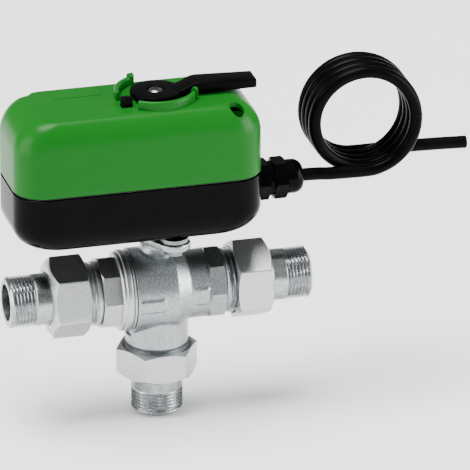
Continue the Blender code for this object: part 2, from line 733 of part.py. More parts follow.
def make_gears():
    half_pitch = math.pi / IDLER_SMALL_TEETH
    bore = SHAFT_R + GAP
    plate("output_gear", [gear_outline(OUTPUT_TEETH, 0.0), circle(bore)], 50.0, 56.0, "gear_nylon")
    place = (IDLER_X, 0, 0)
    idler = plate(
        "idler_gear", [gear_outline(IDLER_SMALL_TEETH, half_pitch)], 50.0, 57.4, "gear_nylon", at=place
    )
    large = plate("idler_large_tool", [gear_outline(IDLER_LARGE_TEETH, 0.0)], 57.0, 60.8, at=place)
    join(idler, large)
    cut(idler, rod("idler_bore_tool", 2.3, 45, 65, at=place, steps=12))
    rod("idler_axle", 2.0, 38.3, PLATE_Z[1] - 0.2, "zinc_steel", at=place, steps=12)
    place = (PINION_X, 0, 0)
    pinion = plate(
        "motor_pinion", [gear_outline(PINION_TEETH, half_pitch)], 56.3, 61.6, "gear_nylon", at=place
    )
    join(pinion, rod("pinion_shaft_tool", 2.2, 60, 69.4, at=place, steps=12))


def make_gear_plate():
    outline = ((-71.5, -18), (29.5, -22), (29.5, 22), (-50, 22), (-57, 13), (-71.5, 13))
    holes = [
        circle(SHAFT_R + 0.5, 20),
        circle(2.3, 12, IDLER_X),
        circle(5.8, 16, PINION_X),
        circle(2.4, 12, BUTTON_X, BUTTON_Y),
    ]
    holes += [circle(1.8, 10, x, y) for x, y in PLATE_POSTS]
    plate("gear_plate", [outline, *holes], *PLATE_Z, "zinc_steel")
    top = PLATE_Z[1] + GAP
    for i, (x, y) in enumerate(PLATE_POSTS):
        profile = ((0, top + 1.8), (2.8, top + 1.8), (2.8, top), (1.2, top), (1.2, 54), (0, 54))
        turned(f"plate_screw_{i + 1}", profile, "zinc_steel", at=(x, y, 0), steps=12)


def make_motor():
    low = PLATE_Z[1] + GAP
    profile = ((0, 87), (MOTOR_R - 1.5, 87), (MOTOR_R, 85.5), (MOTOR_R, low), (0, low))
    motor = turned("motor", profile, "zinc_steel", at=(MOTOR_X, 0, 0), steps=28)
    cut(motor, rod("motor_hole_tool", 2.8, 60, 70, at=(PINION_X, 0, 0), steps=12))


def cam_outline(centre):
    """A round cam with one raised lobe about the angle given in degrees."""
    points = []
    for i in range(28):
        turn = 360 * i / 28
        away = abs((turn - centre + 180) % 360 - 180)
        lift = 0.5 + 0.5 * math.cos(math.pi * min(away / 60, 1))
        radius = 13.0 + 2.6 * lift
        points.append((radius * math.cos(math.radians(turn)), radius * math.sin(math.radians(turn))))
    return points


def make_cam():
    cam = plate("cam", [cam_outline(0)], 66.0, 71.6, "gear_nylon")
    join(cam, plate("cam_upper_tool", [cam_outline(-90)], 71.2, 77.0))
    cut(cam, rod("cam_bore_tool", SHAFT_R + GAP, 60, 80))


def make_switches():
    for name, level in zip(("lower", "upper"), SWITCH_LEVELS):
        middle = level + SWITCH_HEIGHT / 2
        near, far = (SWITCH_X[0], -10, level), (SWITCH_X[1], 10, level + SWITCH_HEIGHT)
        body = block(f"microswitch_{name}", near, far, "black_plastic")
        cut(body, rod(f"plunger_hole_tool_{name}", 1.4, 10, 23.0, at=(0, 0, middle), aim="right", steps=12))
        place = (0, 0, middle)
        rod(f"switch_plunger_{name}", 1.1, PLUNGER_TIP, 21.4, "white_ptfe", at=place, aim="right", steps=12)


def make_board():
    block("circuit_board", (30.5, -13.5, 65.8), (45.8, 15, 67.4), "board_green")
    terminal = block("terminal_block", (33.5, -11, 67.7), (43.0, 12, 77.0), "terminal_grey")
    holes = [
        block(f"terminal_tool_{i}", (38.0, y - 1.8, 69), (50, y + 1.8, 73))
        for i, y in enumerate((-7.5, -2.5, 2.5, 7.5))
    ]
    cut(terminal, *holes)


def make_release():
    button = block(
        "release_button", (BUTTON_X - 2.7, BUTTON_Y - 2.6, 80), (BUTTON_X + 2.7, BUTTON_Y + 2.6, 109.2),
        "black_plastic", origin=(BUTTON_X, BUTTON_Y, 80),
    )
    collar = block(
        "button_collar_tool", (BUTTON_X - 4, BUTTON_Y - 3.8, 98.9), (BUTTON_X + 4, BUTTON_Y + 3.8, 101.6)
    )
    stalk = rod("button_stalk_tool", 1.8, 63.8, 80.5, at=(BUTTON_X, BUTTON_Y, 0), steps=12)
    join(button, collar, stalk)
    low, high, turns, steps = PLATE_Z[1] + 0.7, 79.3, 5, 9
    points = []
    for i in range(turns * steps + 1):
        angle = 2 * math.pi * i / steps
        climb = low + (high - low) * i / (turns * steps)
        points.append((BUTTON_X + 2.6 * math.cos(angle), BUTTON_Y + 2.6 * math.sin(angle), climb))
    wire("release_spring", points, 0.35, "zinc_steel", 1)


# ------------------------------------------------------------ gland and cable


def make_gland():
    place = (0, 0, GLAND_Z)
    thread = (
        (7.7, 65.0), (7.7, 60.0), (9.0, 60.0), (9.0, CASE_RIGHT + GAP), (7.5, CASE_RIGHT + GAP),
        (7.5, 43.0), (4.2, 43.0), (4.2, 59.5),
        (6.6, 60.4), (6.6, 65.0),
    )
    body = turned("gland_body", thread, "black_plastic", at=place, aim="right", steps=24, ring=True)
    flange = rod(
        "gland_hex_tool", GLAND_HEX_R, CASE_RIGHT + GAP, 57.9,
        at=place, aim="right", steps=6, spin=math.pi / 6,
    )
    cut(flange, rod("gland_clear_tool", 8.3, 40, 60, at=place, aim="right"))
    join(body, flange)
    locknut = rod(
        "gland_locknut", 11.0, 43.6, 46.8, "black_plastic", at=place, aim="right", steps=6, spin=math.pi / 6
    )
    cut(locknut, rod("locknut_bore_tool", 7.8, 40, 50, at=place, aim="right"))
    tube("gland_seal", 6.3, 3.65, 60.7, 66.6, "black_rubber", at=place, aim="right", steps=20)
    dome = ((0, 76.3), (6.0, 76.3), (7.5, 75.3), (8.4, 73.7), (8.8, 71.9), (8.8, 61), (0, 61))
    nut = rod(
        "gland_nut", GLAND_HEX_R, 60.3, 67.3,
        "black_plastic", at=place, aim="right", steps=6, spin=math.pi / 6,
    )
    join(nut, turned("gland_dome_tool", dome, at=place, aim="right", steps=24))
    bore = ((0, 80), (3.8, 80), (3.8, 71), (6.8, 67.5), (8.0, 66.8), (8.0, 50), (0, 50))
    cut(nut, turned("gland_nut_bore_tool", bore, at=place, aim="right", steps=24))


def make_cable():
    spacing = 5.0 * CABLE_R
    wire("cable_lead", smooth_route(LEAD_ROUTE, spacing), CABLE_R, "cable_black")
    wire("cable_tail", smooth_route(TAIL_ROUTE, spacing), CABLE_R, "cable_black")
    diameter = 2 * CABLE_R
    near, far = -CABLE_R, COIL_TURNS * diameter + CABLE_R
    place = (COIL_X, 0, COIL_Z)
    outer, inner, soft = COIL_R + CABLE_R, COIL_R - CABLE_R, 1.6
    section = (
        (outer - soft, far), (outer, far - soft), (outer, near + soft), (outer - soft, near),
        (inner + soft, near), (inner, near + soft), (inner, far - soft), (inner + soft, far),
    )
    turned("cable_coil", section, "cable_black", at=place, aim="back", steps=36, ring=True)


def finish_shading():
    """Fix each part's mesh as modelled, smooth on round faces and sharp at real edges."""
    graph = bpy.context.evaluated_depsgraph_get()
    made = []
    for obj in PARTS.objects:
        made.append((obj, bpy.data.meshes.new_from_object(obj.evaluated_get(graph))))
    for obj, mesh in made:
        if obj.type == "MESH":
            obj.modifiers.clear()
            obj.data = mesh
            mesh.shade_smooth()
            mesh.set_sharp_from_angle(angle=math.radians(32))


make_valve_body()
make_end_cap()
make_ball()
for seat, direction in (("seat_left", "left"), ("seat_right", "right"), ("seat_bottom", "down")):
    make_seat(seat, direction)
make_ring("end_cap_oring", 17.3, 0.55, 12.9, aim="left", steps=28)
make_stem()
make_unions()
make_flange_fixings()
make_base()
make_cover()
make_case_fixings()
make_output_shaft()
make_lever()
make_gears()
make_gear_plate()
make_motor()
make_cam()
make_switches()
make_board()
make_release()
make_gland()
make_cable()
bpy.context.view_layer.update()
finish_shading()
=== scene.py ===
"""Looks of the motorised three-port zone valve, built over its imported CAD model.

Lengths are millimetres in the frame of the model: the ports' axes cross at the origin, +X runs
along the pipe run, +Z up the stem, and -Y is the front.
"""
import json
import math

import bmesh
import bpy
from mathutils import Matrix, Vector


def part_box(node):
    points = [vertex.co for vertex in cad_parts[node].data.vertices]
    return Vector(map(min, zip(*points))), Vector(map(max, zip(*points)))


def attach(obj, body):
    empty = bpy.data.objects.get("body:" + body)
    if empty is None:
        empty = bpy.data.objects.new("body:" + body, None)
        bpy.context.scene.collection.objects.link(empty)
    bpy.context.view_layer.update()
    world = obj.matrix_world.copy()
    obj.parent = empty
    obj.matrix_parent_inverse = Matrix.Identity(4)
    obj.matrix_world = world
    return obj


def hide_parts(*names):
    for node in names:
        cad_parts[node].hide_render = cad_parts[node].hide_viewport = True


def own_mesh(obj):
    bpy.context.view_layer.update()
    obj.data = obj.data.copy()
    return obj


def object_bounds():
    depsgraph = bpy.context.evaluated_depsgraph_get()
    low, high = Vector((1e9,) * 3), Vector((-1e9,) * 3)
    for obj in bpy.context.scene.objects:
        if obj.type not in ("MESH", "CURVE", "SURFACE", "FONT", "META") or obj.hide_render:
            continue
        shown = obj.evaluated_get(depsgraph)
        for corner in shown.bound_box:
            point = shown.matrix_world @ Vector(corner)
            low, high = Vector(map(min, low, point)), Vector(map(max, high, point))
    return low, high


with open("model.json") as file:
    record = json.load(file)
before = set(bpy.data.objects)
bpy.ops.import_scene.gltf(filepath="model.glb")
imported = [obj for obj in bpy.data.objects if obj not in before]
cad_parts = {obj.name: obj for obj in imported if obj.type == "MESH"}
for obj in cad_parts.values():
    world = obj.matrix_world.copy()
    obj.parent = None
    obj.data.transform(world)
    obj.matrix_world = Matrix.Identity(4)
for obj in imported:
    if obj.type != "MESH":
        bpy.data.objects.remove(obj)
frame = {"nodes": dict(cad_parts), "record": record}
cad_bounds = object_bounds()

MM = 0.001
FOCAL_LENGTH = 600
CAMERA_DISTANCE = 3.98
AIM_RIGHT, AIM_UP = 39.6, 26.2

# Case: the same shoulders as the solids
CASE_CORNER_R = 15.5
TOP_SHOULDER = (16.5, 8.0, 17.3)
TOP_CORNER_SHRINK = 0.6
BOTTOM_SHOULDER = (14.4, 10.5, 14.4)
BOTTOM_CORNER_SHRINK = 0.05
WALL = 2.5
COVER_SCREWS = ((36.3, -21.5), (-62.7, 21.5))
GUARD_R = (18.6, 21.0)
GUARD_TOP = 109.3
POST_TOP = 110.8

# Metalwork
BARREL_R = 21.5
NECK_R = 17.5
OCTAGON_R = 18.94
G1_R, G1_PITCH, G1_DEPTH = 16.6, 2.309, 1.35
TAIL_R, TAIL_PITCH, TAIL_DEPTH = 13.2, 1.814, 1.1
TAIL_BORE_R = 9.5
PORT_BORE_R = 8.0
NUT_FLATS = 37.0
LUG = (5.5, -15.0, 8.5)

# Cable
CABLE_R = 3.3
COIL_R = 26.3
COIL_TURNS = 4
COIL_CENTRE = (110.8, 0.0, 78.5)
LEAD_ROUTE = ((76.6, 0.0, 53.4), (81.6, 0.0, 53.3), (86.7, 0.0, 53.0), (91.2, 0.0, 52.6))
TAIL_ROUTE = ((129.8, 26.4, 52.2), (143.0, 26.4, 52.0), (157.0, 26.4, 51.6), (171.0, 26.4, 51.0))

AIM = {
    "up": Matrix.Identity(3),
    "down": Matrix.Rotation(math.pi, 3, "X"),
    "right": Matrix.Rotation(math.pi / 2, 3, "Y"),
    "left": Matrix.Rotation(-math.pi / 2, 3, "Y"),
}


def box(node):
    """A CAD node's lowest and highest corners in millimetres."""
    low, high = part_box(node)
    return Vector(low) / MM, Vector(high) / MM


# ------------------------------------------------------------ camera and cord


def make_camera():
    """A long lens from the front left, a little above the case."""
    right = Vector((0.966, -0.259, 0.0)).normalized()
    back = Vector((-0.2382, -0.8891, 0.3907)).normalized()
    up = back.cross(right)
    data = bpy.data.cameras.new("camera")
    data.lens = FOCAL_LENGTH
    data.sensor_width = 36
    camera = bpy.data.objects.new("camera", data)
    target = (right * AIM_RIGHT + up * AIM_UP) * MM
    turn = Matrix((right, up, back)).transposed().to_4x4()
    camera.matrix_world = Matrix.Translation(target + back * CAMERA_DISTANCE) @ turn
    bpy.context.scene.collection.objects.link(camera)
    bpy.context.scene.camera = camera


def catmull(points, spacing):
    """Points read evenly along a smooth curve through a route."""
    ends = [points[0] * 2 - points[1], *points, points[-1] * 2 - points[-2]]
    smooth = []
    for a, b, c, d in zip(ends, ends[1:], ends[2:], ends[3:]):
        count = max(1, round((c - b).length / spacing))
        for i in range(count):
            t = i / count
            bend = (a * 2 - b * 5 + c * 4 - d) * t**2 + (b * 3 - a - c * 3 + d) * t**3
            smooth.append((b * 2 + (c - a) * t + bend) / 2)
    return [*smooth, points[-1]]


def cable_route():
    centre = Vector(COIL_CENTRE)
    turns = []
    for i in range(COIL_TURNS * 24 + 1):
        angle = 2 * math.pi * i / 24
        side = 2 * CABLE_R * angle / (2 * math.pi)
        turns.append(centre + Vector((COIL_R * math.sin(angle), side, -COIL_R * math.cos(angle))))
    lead = [Vector(point) for point in LEAD_ROUTE]
    tail = [Vector(point) for point in TAIL_ROUTE]
    return catmull([*lead, *turns, *tail], 2.0)


make_camera()


# ----------------------------------------------------------------- materials


class Shader:
    """A small node graph around one Principled shader, in the model's own coordinates."""

    def __init__(self, name, metallic=0.0, **sockets):
        self.material = bpy.data.materials.new(name)
        self.material.use_nodes = True
        self.nodes = self.material.node_tree.nodes
        self.links = self.material.node_tree.links
        self.shader = self.nodes["Principled BSDF"]
        self.shader.inputs["Metallic"].default_value = metallic
        for socket, value in sockets.items():
            self.shader.inputs[socket.replace("_", " ")].default_value = value
        self.place = self.nodes.new("ShaderNodeTexCoord").outputs["Object"]
        self.normal = None

    def noise(self, size, detail=3.0, stretch=(1, 1, 1), roughness=0.55):
        """Noise whose features are about size millimetres across."""
        mapping = self.nodes.new("ShaderNodeMapping")
        mapping.inputs["Scale"].default_value = stretch
        texture = self.nodes.new("ShaderNodeTexNoise")
        texture.inputs["Scale"].default_value = 1.0 / (size * MM)
        texture.inputs["Detail"].default_value = detail
        texture.inputs["Roughness"].default_value = roughness
        self.links.new(self.place, mapping.inputs["Vector"])
        self.links.new(mapping.outputs[0], texture.inputs["Vector"])
        return texture.outputs["Fac"]

    def colour(self, fac, dark, light, low=0.35, high=0.65):
        ramp = self.nodes.new("ShaderNodeValToRGB")
        ramp.color_ramp.elements[0].position = low
        ramp.color_ramp.elements[1].position = high
        ramp.color_ramp.elements[0].color = (*dark, 1.0)
        ramp.color_ramp.elements[1].color = (*light, 1.0)
        self.links.new(fac, ramp.inputs["Fac"])
        self.links.new(ramp.outputs["Color"], self.shader.inputs["Base Color"])

    def gloss(self, fac, low, high):
        spread = self.nodes.new("ShaderNodeMapRange")
        spread.inputs["From Min"].default_value = 0.3
        spread.inputs["From Max"].default_value = 0.7
        spread.inputs["To Min"].default_value = low
        spread.inputs["To Max"].default_value = high
        self.links.new(fac, spread.inputs["Value"])
        self.links.new(spread.outputs["Result"], self.shader.inputs["Roughness"])

    def bump(self, fac, depth, strength=1.0):
        """Relief of a depth in millimetres; later calls lie on top of earlier ones."""
        bump = self.nodes.new("ShaderNodeBump")
        bump.inputs["Distance"].default_value = depth * MM
        bump.inputs["Strength"].default_value = strength
        self.links.new(fac, bump.inputs["Height"])
        if self.normal:
            self.links.new(self.normal, bump.inputs["Normal"])
        self.normal = bump.outputs["Normal"]
        self.links.new(self.normal, self.shader.inputs["Normal"])


def blasted_nickel():
    """Cast brass, blasted and nickel plated: a fine sparkle over soft tonal clouds."""
    look = Shader("blasted_nickel", 1.0)
    fine = look.noise(0.28, 4.0, roughness=0.7)
    look.colour(look.noise(0.9, 4.0, roughness=0.6), (0.26, 0.28, 0.287), (0.43, 0.455, 0.465))
    look.gloss(fine, 0.26, 0.42)
    look.bump(fine, 0.05)
    look.bump(look.noise(1.3, 4.0), 0.12)
    return look.material


def machined_nickel(name, stretch):
    """Turned or milled faces under nickel: faint lines along the cut."""
    look = Shader(name, 1.0)
    lines = look.noise(0.5, 3.0, stretch)
    look.colour(look.noise(3.0, 4.0), (0.30, 0.32, 0.325), (0.46, 0.48, 0.485))
    look.gloss(lines, 0.20, 0.32)
    look.bump(lines, 0.012)
    return look.material


def nut_nickel():
    """Forged nuts: milled flats with a fine, even blasted tooth."""
    look = Shader("nut_nickel", 1.0)
    fine = look.noise(0.22, 4.0, roughness=0.7)
    look.colour(look.noise(0.8, 4.0, roughness=0.7), (0.42, 0.435, 0.44), (0.60, 0.615, 0.62))
    look.gloss(fine, 0.30, 0.42)
    look.bump(fine, 0.025)
    return look.material


def moulded(name, dark, light, low, high, tooth=0.0015, **sockets):
    """Moulded plastic: an even colour with a very fine tooth and slight flow marks."""
    look = Shader(name, **sockets)
    flow = look.noise(9.0, 2.0, (0.5, 1, 1))
    look.colour(flow, dark, light)
    look.gloss(flow, low, high)
    look.bump(look.noise(0.9, 2.0), tooth)
    return look.material


def plated(name, dark, light, low, high):
    look = Shader(name, 1.0)
    fine = look.noise(0.5, 3.0)
    look.colour(look.noise(2.0, 4.0), dark, light)
    look.gloss(fine, low, high)
    look.bump(fine, 0.01)
    return look.material


LOOKS = {
    "cast": blasted_nickel(),
    "nut": nut_nickel(),
    "turned_x": machined_nickel("turned_nickel_run", (6, 0.4, 0.4)),
    "turned_z": machined_nickel("turned_nickel_branch", (0.4, 0.4, 6)),
    "green_plastic": moulded(
        "green_plastic",
        (0.0040, 0.100, 0.0078),
        (0.0042, 0.103, 0.0080),
        0.28,
        0.30,
        Specular_IOR_Level=0.10,
    ),
    "black_plastic": moulded(
        "black_plastic",
        (0.0008, 0.0008, 0.001),
        (0.0015, 0.0015, 0.0018),
        0.14,
        0.17,
        Specular_IOR_Level=0.04,
    ),
    "lever_plastic": moulded(
        "lever_plastic",
        (0.001, 0.001, 0.001),
        (0.002, 0.002, 0.002),
        0.3,
        0.4,
        0.015,
        Specular_IOR_Level=0.03,
    ),
    "cable_black": moulded(
        "cable_sheath",
        (0.001, 0.001, 0.001),
        (0.002, 0.002, 0.002),
        0.24,
        0.34,
        0.01,
        Specular_IOR_Level=0.03,
    ),
    "black_rubber": moulded("seal_rubber", (0.012, 0.012, 0.012), (0.02, 0.02, 0.02), 0.6, 0.75, 0.02),
    "zinc_steel": plated("zinc_steel", (0.16, 0.17, 0.172), (0.24, 0.25, 0.252), 0.16, 0.3),
    "polished_brass": plated("polished_brass", (0.68, 0.52, 0.24), (0.80, 0.65, 0.34), 0.12, 0.22),
    "white_ptfe": moulded("white_ptfe", (0.78, 0.78, 0.75), (0.86, 0.86, 0.83), 0.4, 0.5),
    "fibre_gasket": moulded("fibre_gasket", (0.24, 0.07, 0.04), (0.34, 0.11, 0.07), 0.7, 0.85, 0.05),
    "gear_nylon": moulded("gear_nylon", (0.68, 0.65, 0.54), (0.78, 0.75, 0.64), 0.4, 0.5),
    "board_green": moulded("board_green", (0.015, 0.11, 0.035), (0.025, 0.16, 0.055), 0.3, 0.5, 0.02),
    "terminal_grey": moulded("terminal_grey", (0.30, 0.32, 0.34), (0.37, 0.39, 0.41), 0.4, 0.5),
}
LOOKS["plated_brass"] = LOOKS["nut"]


# -------------------------------------------------------------- mesh helpers


def make(name, shape, aim="up", at=(0, 0, 0), spin=0.0):
    """An object from a bmesh in millimetres, turned so that its Z runs the way it is aimed."""
    mesh = bpy.data.meshes.new(name)
    turn = AIM[aim] @ Matrix.Rotation(spin, 3, "Z")
    place = Matrix.Scale(MM, 4) @ Matrix.Translation(Vector(at)) @ turn.to_4x4()
    bmesh.ops.transform(shape, matrix=place, verts=shape.verts)
    bmesh.ops.recalc_face_normals(shape, faces=shape.faces)
    shape.to_mesh(mesh)
    shape.free()
    obj = bpy.data.objects.new(name, mesh)
    bpy.context.scene.collection.objects.link(obj)
    return obj


def soften(profile, radius, ring=False, steps=3):
    """Round a profile's corners, leaving those on the axis."""
    rounded = []
    count = len(profile)
    for i, corner in enumerate(profile):
        if not ring and i in (0, count - 1):
            rounded.append(corner)
            continue
        corner = Vector(corner)
        before, after = Vector(profile[i - 1]) - corner, Vector(profile[(i + 1) % count]) - corner
        reach = min(radius, before.length * 0.45, after.length * 0.45)
        start, end = corner + before.normalized() * reach, corner + after.normalized() * reach
        for j in range(steps + 1):
            t = j / steps
            rounded.append(tuple(start * (1 - t) ** 2 + corner * 2 * t * (1 - t) + end * t**2))
    return rounded


def threaded(profile, radius, low, high, pitch, depth):
    """Split a profile's straight outer stretch between two heights into fine steps for a thread."""
    steps = max(8, round((high - low) / pitch * 8))
    heights = [high - (high - low) * i / steps for i in range(steps + 1)]
    fine = [(radius, height, depth) for height in heights]
    above = [(r, h, 0) for r, h in profile if h > high or r < radius - 0.05 and h > (low + high) / 2]
    below = [(r, h, 0) for r, h in profile if h < low or r < radius - 0.05 and h <= (low + high) / 2]
    return above + fine + below


def thread_drop(height, angle, low, high, pitch, depth):
    """How far a thread's flank lies below its crest, fading out at both ends."""
    phase = (height / pitch - angle / (2 * math.pi)) % 1.0
    wave = min(1.0, max(0.0, abs(2 * phase - 1) * 1.35 - 0.12))
    fade = min(1.0, (height - low) / (0.8 * pitch), (high - height) / (0.5 * pitch))
    return depth * wave * max(0.0, fade)


def lathe(name, profile, aim="up", at=(0, 0, 0), steps=96, soft=0.0, ring=False, thread=None):
    """Turn (radius, height) points about local Z; thread is (radius, low, high, pitch, depth)."""
    if soft:
        profile = soften(profile, soft, ring)
    points = threaded(profile, *thread) if thread else [(r, h, 0) for r, h in profile]
    shape = bmesh.new()
    rows = []
    for radius, height, depth in points:
        if radius < 1e-6:
            rows.append([shape.verts.new((0, 0, height))])
            continue
        row = []
        for i in range(steps):
            angle = 2 * math.pi * i / steps
            r = radius - (thread_drop(height, angle, *thread[1:]) if depth else 0.0)
            row.append(shape.verts.new((r * math.cos(angle), r * math.sin(angle), height)))
        rows.append(row)
    pairs = list(zip(rows, rows[1:]))
    if ring:
        pairs.append((rows[-1], rows[0]))
    for upper, lower in pairs:
        for i in range(steps):
            j = (i + 1) % steps
            if len(upper) == 1 and len(lower) > 1:
                shape.faces.new((upper[0], lower[i], lower[j]))
            elif len(lower) == 1 and len(upper) > 1:
                shape.faces.new((upper[i], lower[0], upper[j]))
            elif len(upper) > 1:
                shape.faces.new((upper[i], lower[i], lower[j], upper[j]))
    return make(name, shape, aim, at)


def prism(name, outline, low, high, aim="up", at=(0, 0, 0), spin=0.0):
    """A straight solid on an outline of (x, y) points."""
    shape = bmesh.new()
    bottom = [shape.verts.new((x, y, low)) for x, y in outline]
    top = [shape.verts.new((x, y, high)) for x, y in outline]
    for i in range(len(outline)):
        j = (i + 1) % len(outline)
        shape.faces.new((bottom[i], bottom[j], top[j], top[i]))
    shape.faces.new(bottom[::-1])
    shape.faces.new(top)
    return make(name, shape, aim, at, spin)


def arc(radius, start, end, steps, x=0.0, y=0.0):
    """Points on an arc; angles in degrees."""
    turns = [math.radians(start + (end - start) * i / steps) for i in range(steps + 1)]
    return [(x + radius * math.cos(turn), y + radius * math.sin(turn)) for turn in turns]


def polygon(corner_r, sides, rounding, steps=4):
    """A regular polygon whose corners are rounded."""
    points = []
    inner = corner_r - rounding / math.cos(math.pi / sides)
    for i in range(sides):
        middle = 360 * i / sides
        x, y = inner * math.cos(math.radians(middle)), inner * math.sin(math.radians(middle))
        points += arc(rounding, middle - 180 / sides, middle + 180 / sides, steps, x, y)
    return points


def rounded_box(name, low, high, rounding, segments=3):
    shape = bmesh.new()
    bmesh.ops.create_cube(shape, size=1.0)
    low, high = Vector(low), Vector(high)
    bmesh.ops.scale(shape, vec=high - low, verts=shape.verts)
    bmesh.ops.translate(shape, vec=(low + high) / 2, verts=shape.verts)
    bmesh.ops.bevel(shape, geom=shape.edges, offset=rounding, segments=segments, affect="EDGES", profile=0.5)
    return make(name, shape)


def settle(obj):
    """Replace an object's mesh by what its modifiers make of it."""
    graph = bpy.context.evaluated_depsgraph_get()
    mesh = bpy.data.meshes.new_from_object(obj.evaluated_get(graph))
    obj.modifiers.clear()
    obj.data = mesh
    return obj


def combine(obj, tools, operation):
    for tool in tools:
        boolean = obj.modifiers.new(tool.name, "BOOLEAN")
        boolean.operation = operation
        boolean.solver = "MANIFOLD"
        boolean.object = tool
    settle(obj)
    for tool in tools:
        bpy.data.objects.remove(tool, do_unlink=True)
    return obj


def bevel(obj, width, segments=2, angle=35):
    edge = obj.modifiers.new("edges", "BEVEL")
    edge.width = width * MM
    edge.segments = segments
    edge.limit_method = "ANGLE"
    edge.angle_limit = math.radians(angle)
    return settle(obj)


def piece(obj, look, body, *nodes, slot=None, angle=32):
    """Finish a piece: shading, material, the body it rides on and the CAD nodes it stands for."""
    obj.data.materials.clear()
    obj.data.materials.append(LOOKS[look])
    obj.data.shade_smooth()
    obj.data.set_sharp_from_angle(angle=math.radians(angle))
    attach(obj, body)
    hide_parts(*nodes)
    return obj


# --------------------------------------------------------------------- case


def case_outline(inset_x, inset_y, shrink, steps=14):
    low, high = box("base_housing")
    radius = max(CASE_CORNER_R - shrink * (inset_x + inset_y) / 2, 0.8)
    left, right, half = low.x + inset_x, high.x - inset_x, high.y - inset_y
    return (
        arc(radius, -90, 0, steps, right - radius, -half + radius)
        + arc(radius, 0, 90, steps, right - radius, half - radius)
        + arc(radius, 90, 180, steps, left + radius, half - radius)
        + arc(radius, 180, 270, steps, left + radius, -half + radius)
    )


def case_shell(name, seam, closed, shoulder, shrink):
    """Half of the case as a closed shell with a rolled edge at the seam."""
    in_x, in_y, rise = shoulder
    up = math.copysign(1.0, closed - seam)
    levels = [(seam, 0.035), (seam + up * 0.15, 0.012), (seam + up * 0.35, 0.0)]
    straight = closed - up * rise
    levels += [(seam + (straight - seam) * share, 0.0) for share in (0.25, 0.5, 0.75)]
    rounds = 20
    for i in range(rounds + 1):
        turn = math.pi / 2 * i / rounds
        levels.append((closed - up * rise * (1 - math.sin(turn)), 1 - math.cos(turn)))
    shape = bmesh.new()
    rows = []
    for level, share in levels:
        outline = case_outline(in_x * share, in_y * share, shrink)
        rows.append([shape.verts.new((x, y, level)) for x, y in outline])
    for lower, upper in zip(rows, rows[1:]):
        for i in range(len(lower)):
            j = (i + 1) % len(lower)
            if (lower[i].co - lower[j].co).length > 1e-6:
                shape.faces.new((lower[i], lower[j], upper[j], upper[i]))
    shape.faces.new(rows[-1])
    shell = make(name, shape)
    if shell.data.polygons[-1].normal.z * up < 0:
        shell.data.flip_normals()
    skin = shell.modifiers.new("wall", "SOLIDIFY")
    skin.thickness = WALL * MM
    skin.offset = -1.0
    skin.use_even_offset = True
    return settle(shell)


def guard_wall(name, start, end, low, high, inner=GUARD_R[0], outer=GUARD_R[1]):
    """A curved wall with a rounded rim and flat ends."""
    middle, half = (inner + outer) / 2, (outer - inner) / 2
    section = [(inner, low), (outer, low), (outer, high - half)]
    section += arc(half, 0, 180, 8, middle, high - half)
    steps = max(6, round(abs(end - start) / 3))
    shape = bmesh.new()
    rows = []
    for i in range(steps + 1):
        turn = math.radians(start + (end - start) * i / steps)
        rows.append([shape.verts.new((r * math.cos(turn), r * math.sin(turn), z)) for r, z in section])
    for a, b in zip(rows, rows[1:]):
        for i in range(len(section)):
            j = (i + 1) % len(section)
            shape.faces.new((a[i], a[j], b[j], b[i]))
    shape.faces.new(rows[0])
    shape.faces.new(rows[-1][::-1])
    return make(name, shape)


def make_cover():
    low, high = box("cover")
    seam = low.z
    roof = POST_TOP - 6.1
    cover = case_shell("cover_shell", seam, roof, TOP_SHOULDER, TOP_CORNER_SHRINK)
    additions = [
        rounded_box("blank_panel", (-50.5, 8.0, roof - 0.6), (-26.0, 19.0, roof + 0.25), 0.15, 1),
        guard_wall("guard_front", -129, -24, roof - 1.5, GUARD_TOP),
        guard_wall("guard_back", 113, 185, roof - 1.5, GUARD_TOP),
        guard_wall("post_front", -30, -23, roof - 1.5, high.z, GUARD_R[0] - 0.1, GUARD_R[1] + 0.7),
        guard_wall("post_back", 111.5, 118.5, roof - 1.5, high.z, GUARD_R[0] - 0.1, GUARD_R[1] + 0.7),
    ]
    for i, (x, y) in enumerate(COVER_SCREWS):
        post = [(0, 99.0), (5, 99.0), (5, seam + 0.7), (0, seam + 0.7)]
        additions.append(lathe(f"cover_boss_{i}", post, at=(x, y, 0), steps=48))
    combine(cover, additions, "UNION")
    button_low, button_high = box("release_button")
    x, y = (button_low.x + button_high.x) / 2, (button_low.y + button_high.y) / 2
    holes = [
        lathe("shaft_hole", [(0, 112), (7.3, 112), (7.3, 95), (0, 95)], steps=64),
        rounded_box("button_hole", (x - 3, y - 2.9, 95), (x + 3, y + 2.9, 112), 0.4),
    ]
    for i, (x, y) in enumerate(COVER_SCREWS):
        recess = [(0, 112), (3.9, 112), (3.9, 92), (2.1, 92), (2.1, 60), (0, 60)]
        holes.append(lathe(f"screw_recess_{i}", recess, at=(x, y, 0), steps=48))
    combine(cover, holes, "DIFFERENCE")
    piece(cover, "green_plastic", "valve", "cover", angle=28)


def make_base():
    low, high = box("base_housing")
    seam = box("cover_gasket")[0].z - 0.3
    base = case_shell("base_shell", seam, low.z, BOTTOM_SHOULDER, BOTTOM_CORNER_SHRINK)
    gland_z = sum(v.z for v in box("gland_body")) / 2
    holes = [
        lathe("centre_hole", [(0, 60), (9.2, 60), (9.2, 30), (0, 30)], steps=64),
        lathe("gland_hole", [(0, 60), (7.8, 60), (7.8, 40), (0, 40)], "right", (0, 0, gland_z), 48),
    ]
    for side in (1, -1):
        bolt = [(0, 50), (2.8, 50), (2.8, 30), (0, 30)]
        holes.append(lathe(f"bolt_hole_{side}", bolt, at=(side * LUG[0], side * LUG[1], 0), steps=32))
    combine(base, holes, "DIFFERENCE")
    piece(base, "black_plastic", "valve", "base_housing", angle=28)


# --------------------------------------------------------------------- valve


